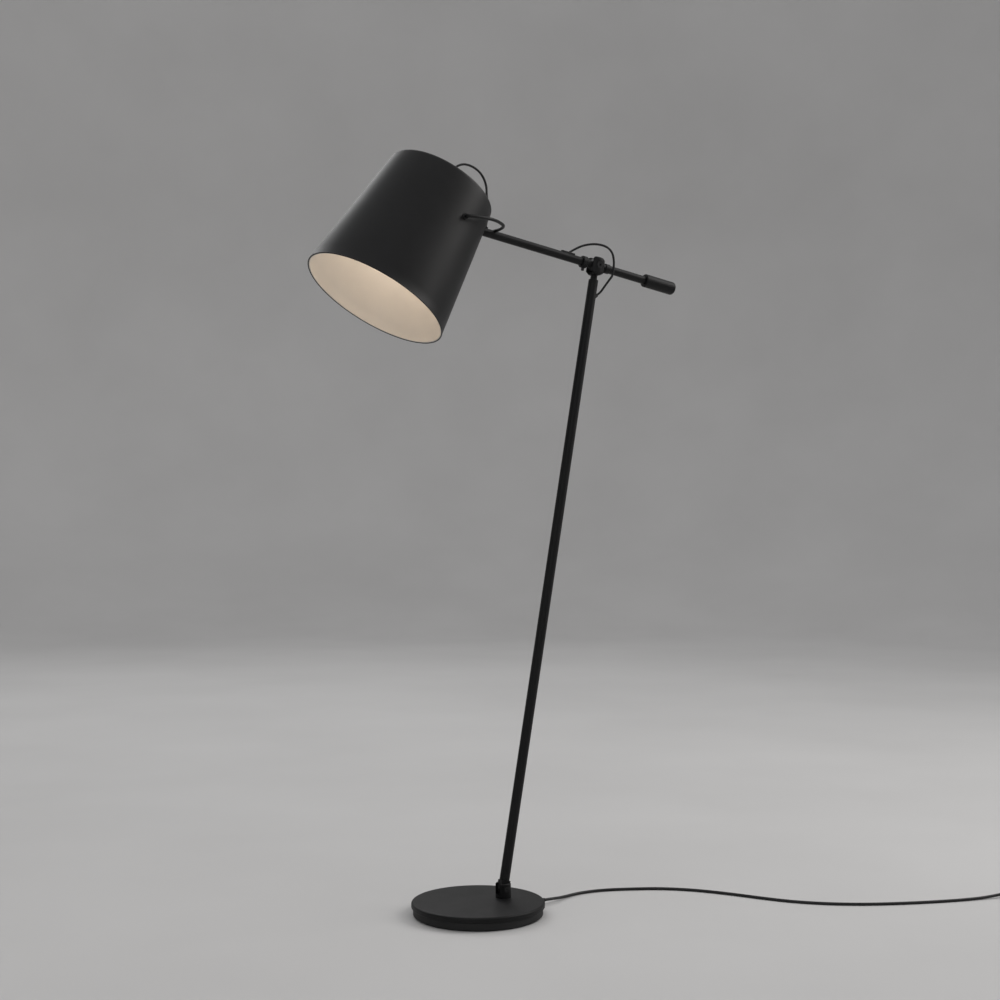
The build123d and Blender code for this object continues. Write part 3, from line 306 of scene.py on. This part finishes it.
def coated(
    name, dark, light, rough, grain, grain_depth, wave=90.0, wave_depth=0.0, metallic=0.0, specular=0.35,
):
    """A fine grain over slow changes of colour and gloss. A wave_depth adds an orange peel."""
    material, nodes, links, shader = new_material(name)
    where = nodes.new("ShaderNodeTexCoord").outputs["Object"]
    cloud = noise(nodes, links, where, 14.0, detail=4.0)
    fine = noise(nodes, links, where, grain, detail=3.0, roughness=0.6)
    links.new(two_tone(nodes, links, cloud, dark, light), shader.inputs["Base Color"])
    mixed = nodes.new("ShaderNodeMath")
    mixed.operation = "MULTIPLY_ADD"
    mixed.inputs[1].default_value = 0.5
    links.new(fine, mixed.inputs[0])
    half = nodes.new("ShaderNodeMath")
    half.operation = "MULTIPLY"
    half.inputs[1].default_value = 0.5
    links.new(cloud, half.inputs[0])
    links.new(half.outputs[0], mixed.inputs[2])
    links.new(
        spread_range(nodes, links, mixed.outputs[0], rough[0], rough[1]), shader.inputs["Roughness"]
    )
    normal = bump(nodes, links, fine, 0.6, grain_depth)
    if wave_depth:
        slow = noise(nodes, links, where, wave, detail=1.0)
        normal = bump(nodes, links, slow, 0.5, wave_depth, before=normal)
    links.new(normal, shader.inputs["Normal"])
    shader.inputs["Metallic"].default_value = metallic
    shader.inputs["Specular IOR Level"].default_value = specular
    return material


POWDER = coated(
    "black_powder_coat", (0.0045, 0.0045, 0.0048), (0.0070, 0.0070, 0.0074), (0.42, 0.56),
    grain=2600.0, grain_depth=0.00003, wave=420.0, wave_depth=0.00002, specular=0.22,
)
CASTING = coated(
    "black_primer", (0.010, 0.010, 0.0105), (0.018, 0.018, 0.018), (0.55, 0.75),
    grain=900.0, grain_depth=0.00012, wave=160.0, wave_depth=0.00006,
)
LACQUER = coated(
    "shade_lacquer", (0.0060, 0.0060, 0.0063), (0.0088, 0.0088, 0.0092), (0.40, 0.50),
    grain=3200.0, grain_depth=0.00002, wave=260.0, wave_depth=0.00001, specular=0.28,
)
BLACK_STEEL = coated(
    "black_oxide", (0.012, 0.012, 0.0125), (0.024, 0.024, 0.025), (0.26, 0.42),
    grain=1800.0, grain_depth=0.00002, metallic=0.0,
)
RUBBER = coated(
    "black_rubber", (0.009, 0.009, 0.0092), (0.016, 0.016, 0.016), (0.58, 0.75),
    grain=1500.0, grain_depth=0.00004,
)
SHEATH = coated(
    "cable_sheath", (0.009, 0.009, 0.0095), (0.0145, 0.0145, 0.015), (0.38, 0.5),
    grain=1200.0, grain_depth=0.00002,
)
MOULDING = coated(
    "black_moulding", (0.011, 0.011, 0.0115), (0.016, 0.016, 0.0165), (0.42, 0.55),
    grain=1100.0, grain_depth=0.00006,
)
FELT = coated(
    "felt", (0.014, 0.014, 0.014), (0.03, 0.03, 0.03), (0.9, 1.0),
    grain=700.0, grain_depth=0.0003,
)
CREAM = coated(
    "cream_lacquer", (0.66, 0.62, 0.565), (0.71, 0.665, 0.605), (0.5, 0.62),
    grain=1500.0, grain_depth=0.00004, wave=200.0, wave_depth=0.00001,
)
STEEL = coated(
    "zinc_steel", (0.42, 0.42, 0.43), (0.58, 0.58, 0.6), (0.25, 0.42),
    grain=1200.0, grain_depth=0.00002, metallic=1.0,
)
NICKEL = coated(
    "nickel", (0.6, 0.57, 0.52), (0.72, 0.69, 0.64), (0.14, 0.28),
    grain=1400.0, grain_depth=0.00001, metallic=1.0,
)
ALUMINIUM = coated(
    "turned_aluminium", (0.55, 0.55, 0.56), (0.68, 0.68, 0.7), (0.25, 0.4),
    grain=1600.0, grain_depth=0.00002, metallic=1.0,
)
BRASS = coated(
    "brass", (0.62, 0.44, 0.19), (0.75, 0.57, 0.28), (0.25, 0.4),
    grain=1400.0, grain_depth=0.00002, metallic=1.0,
)
NYLON = coated(
    "nylon", (0.55, 0.55, 0.52), (0.66, 0.66, 0.63), (0.45, 0.6),
    grain=1200.0, grain_depth=0.00004,
)


def lit_glass():
    """Frosted glass of a lit bulb."""
    material = coated(
        "frosted_glass", (0.86, 0.84, 0.78), (0.92, 0.9, 0.85), (0.4, 0.55),
        grain=1600.0, grain_depth=0.00003,
    )
    shader = material.node_tree.nodes["Principled BSDF"]
    shader.inputs["Emission Color"].default_value = (1.0, 0.88, 0.76, 1.0)
    shader.inputs["Emission Strength"].default_value = 8.5
    return material


BULB = lit_glass()

BY_SLOT = {
    "black_metal": POWDER,
    "black_shade": LACQUER,
    "cream_liner": CREAM,
    "black_steel": BLACK_STEEL,
    "steel": STEEL,
    "nickel": NICKEL,
    "aluminium": ALUMINIUM,
    "cast_iron": CASTING,
    "brass": BRASS,
    "black_rubber": RUBBER,
    "cable": SHEATH,
    "felt": FELT,
    "nylon": NYLON,
    "black_plastic": MOULDING,
    "frosted_glass": BULB,
}


def dress(thing, material):
    thing.data.materials.clear()
    thing.data.materials.append(material)


for part in frame["record"]["subparts"]:
    dress(frame["nodes"][part["node"]], BY_SLOT[part["material_slot"]])


# ------------------------------------------------------------------ meshes turned about an axis
SHARP_ANGLE = math.radians(40)


def arc(centre, radius, start, end, count):
    """Points of an arc in the (radius, height) plane, angles in degrees from the outward direction."""
    points = []
    for i in range(count + 1):
        angle = math.radians(start + (end - start) * i / count)
        points.append((centre[0] + radius * math.cos(angle), centre[1] + radius * math.sin(angle)))
    return points


def lathe(name, profile, place, material, segments=192, closed=True):
    """Turns a (radius, height) profile in millimetres about the axis of place."""
    mesh = bmesh.new()
    rings = []
    for radius, height in profile:
        if radius < 1e-6:
            rings.append([mesh.verts.new(place @ Vector((0, 0, height * MM)))])
            continue
        ring = []
        for i in range(segments):
            angle = 2 * math.pi * i / segments
            at = Vector((radius * math.cos(angle), radius * math.sin(angle), height)) * MM
            ring.append(mesh.verts.new(place @ at))
        rings.append(ring)
    pairs = list(zip(rings, rings[1:]))
    if closed:
        pairs.append((rings[-1], rings[0]))
    for low, high in pairs:
        for i in range(segments):
            j = (i + 1) % segments
            if len(low) == 1 and len(high) == 1:
                continue
            if len(low) == 1:
                mesh.faces.new((low[0], high[j], high[i]))
            elif len(high) == 1:
                mesh.faces.new((low[i], low[j], high[0]))
            else:
                mesh.faces.new((low[i], low[j], high[j], high[i]))
    bmesh.ops.recalc_face_normals(mesh, faces=mesh.faces)
    data = bpy.data.meshes.new(name)
    mesh.to_mesh(data)
    mesh.free()
    data.shade_smooth()
    data.set_sharp_from_angle(angle=SHARP_ANGLE)
    piece = bpy.data.objects.new(name, data)
    bpy.context.scene.collection.objects.link(piece)
    data.materials.append(material)
    return piece


def cut(piece, cutter):
    """Takes the cutter's solid out of a piece, and removes the cutter."""
    modifier = piece.modifiers.new("cut", "BOOLEAN")
    modifier.operation = "DIFFERENCE"
    modifier.solver = "EXACT"
    modifier.object = cutter
    bpy.context.view_layer.update()
    graph = bpy.context.evaluated_depsgraph_get()
    data = bpy.data.meshes.new_from_object(piece.evaluated_get(graph))
    piece.modifiers.clear()
    old = piece.data
    piece.data = data
    name = old.name
    bpy.data.meshes.remove(old)
    data.name = name
    data.shade_smooth()
    data.set_sharp_from_angle(angle=SHARP_ANGLE)
    bpy.data.objects.remove(cutter)


# ------------------------------------------------------------------ shade
SHADE_TOP = 70.5
SHADE_H = 258.5
TOP_R = 104.5
MOUTH_R = 137.1
WALL = 1.5
SHOULDER_R = 7.0
MOUTH = SHADE_TOP - SHADE_H
TAPER = (MOUTH_R - TOP_R) / SHADE_H
SIDE_STEPS = 14
SIDE_ANGLE = math.degrees(math.atan(TAPER))


def side_radius(height):
    return TOP_R + (SHADE_TOP - height) * TAPER


def bell(inset, shoulder, low, hole_r):
    """Profile of the shade's skin moved inwards by inset, from height low up to the hole in its top."""
    slope = math.cos(math.radians(SIDE_ANGLE))
    top = SHADE_TOP - inset
    centre_z = top - shoulder
    centre_r = side_radius(centre_z) - inset - shoulder / slope
    points = []
    start_z = centre_z + shoulder * math.sin(math.radians(SIDE_ANGLE))
    for i in range(SIDE_STEPS):
        height = low + (start_z - low) * i / SIDE_STEPS
        points.append((side_radius(height) - inset, height))
    points += arc((centre_r, centre_z), shoulder, SIDE_ANGLE, 90.0, 10)
    for share in (0.75, 0.5, 0.3, 0.16):
        points.append((centre_r * share, top))
    points.append((hole_r, top))
    return points


PIVOT_HOLE_R = 4.05
CUTTER_REACH = 150.0


def pivot_cutter():
    """A bar through both pivots of the shade."""
    place = SHADE @ Matrix.Translation((-SHADE_AXIS_X, 0, 0)) @ Matrix.Rotation(math.radians(90), 4, "X")
    profile = [(0, -CUTTER_REACH), (PIVOT_HOLE_R, -CUTTER_REACH), (PIVOT_HOLE_R, CUTTER_REACH), (0, CUTTER_REACH)]
    return lathe("cutter", profile, place, LACQUER, 48, False)


RIM = (MOUTH_R - WALL / 2, MOUTH)
RIM_R = 1.2
HOLE_R = 5.05  # hole in the shade's top, for the nipple
SKIN_LOW = MOUTH + 1.6
outer_skin = bell(0.0, SHOULDER_R, SKIN_LOW, HOLE_R)
inner_skin = bell(WALL, SHOULDER_R - WALL, SKIN_LOW, HOLE_R)
rim = arc(RIM, RIM_R, 150.0, 405.0, 18)
shade_outer = lathe("shade_outer", rim + outer_skin + inner_skin[::-1], SHADE, LACQUER)
cut(shade_outer, pivot_cutter())
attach(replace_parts(shade_outer, "shade_shell"), "shade")

LINER_GAP = WALL + 0.05
LINER_T = 1.0
HEM = (MOUTH_R - LINER_GAP - 1.0, MOUTH + 0.8)
HEM_R = 1.15
LINER_LOW = MOUTH + 2.4
hem = arc(HEM, HEM_R, 120.0, 390.0, 16)
liner_out = bell(LINER_GAP, SHOULDER_R - LINER_GAP, LINER_LOW, HOLE_R)
liner_in = bell(LINER_GAP + LINER_T, SHOULDER_R - LINER_GAP - LINER_T, LINER_LOW, HOLE_R)
shade_inner = lathe("shade_inner", hem + liner_out + liner_in[::-1], SHADE, CREAM)
cut(shade_inner, pivot_cutter())
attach(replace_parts(shade_inner, "shade_liner"), "shade")


# ------------------------------------------------------------------ cords replace the CAD cords, and the floor cords ride on the base
for cord_piece in (mains_cord, coiled_cord, lead_top, lead_side, lead_shade):
    dress(cord_piece, SHEATH)

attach(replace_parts(mains_cord, "floor_cord"), "base")
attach(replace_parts(coiled_cord, "cord_to_coil", "coil_ring", "cord_to_plug"), "base")
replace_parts(lead_top, "joint_lead_top")
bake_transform(lead_top)
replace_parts(lead_side, "joint_lead_side")
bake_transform(lead_side)
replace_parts(lead_shade, "shade_lead_loop")
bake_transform(lead_shade)

# ------------------------------------------------------------------ floor and lights
STUDIO_FLOOR_R = 6000.0
STUDIO_BEND_R = 3000.0
STUDIO_WALL_TOP = 6500.0
floor_material, floor_nodes, floor_links, floor_shader = new_material("pale_floor")
floor_where = floor_nodes.new("ShaderNodeTexCoord").outputs["Object"]
floor_cloud = noise(floor_nodes, floor_links, floor_where, 1.3, detail=3.0)
floor_tone = two_tone(floor_nodes, floor_links, floor_cloud, (0.6, 0.595, 0.59), (0.635, 0.63, 0.625))
floor_links.new(floor_tone, floor_shader.inputs["Base Color"])
floor_shader.inputs["Roughness"].default_value = 0.75
floor_shader.inputs["Specular IOR Level"].default_value = 0.25
studio_profile = [(0, 0), (1500, 0), (3000, 0), (4500, 0), (STUDIO_FLOOR_R, 0)]
studio_profile += arc((STUDIO_FLOOR_R, STUDIO_BEND_R), STUDIO_BEND_R, -90.0, 0.0, 24)[1:]
studio_profile.append((STUDIO_FLOOR_R + STUDIO_BEND_R, STUDIO_WALL_TOP))
floor = lathe("floor", studio_profile, Matrix.Identity(4), floor_material, 96, False)


def soft_box(name, place, aim, size, energy, colour):
    data = bpy.data.lights.new(name, "AREA")
    data.shape = "RECTANGLE"
    data.size = size[0]
    data.size_y = size[1]
    data.energy = energy
    data.color = colour
    light = bpy.data.objects.new(name, data)
    light.location = place
    light.rotation_mode = "QUATERNION"
    light.rotation_quaternion = (Vector(aim) - Vector(place)).to_track_quat("-Z", "Y")
    bpy.context.scene.collection.objects.link(light)


soft_box("key", (3.2, -1.2, 2.9), (0.0, 0.0, 0.9), (1.8, 2.6), 62.0, (1.0, 0.98, 0.96))
soft_box("fill", (-3.0, -3.2, 3.0), (0.0, 0.0, 0.8), (2.6, 2.6), 20.0, (0.97, 0.985, 1.0))
soft_box("back", (0.6, 4.2, 3.6), (0.0, 0.0, 0.7), (3.0, 2.0), 34.0, (1.0, 1.0, 1.0))

world = bpy.data.worlds.new("studio")
world.use_nodes = True
world.node_tree.nodes["Background"].inputs["Color"].default_value = (0.9, 0.9, 0.91, 1.0)
world.node_tree.nodes["Background"].inputs["Strength"].default_value = 0.62
bpy.context.scene.world = world
bpy.context.scene.view_settings.view_transform = "Standard"
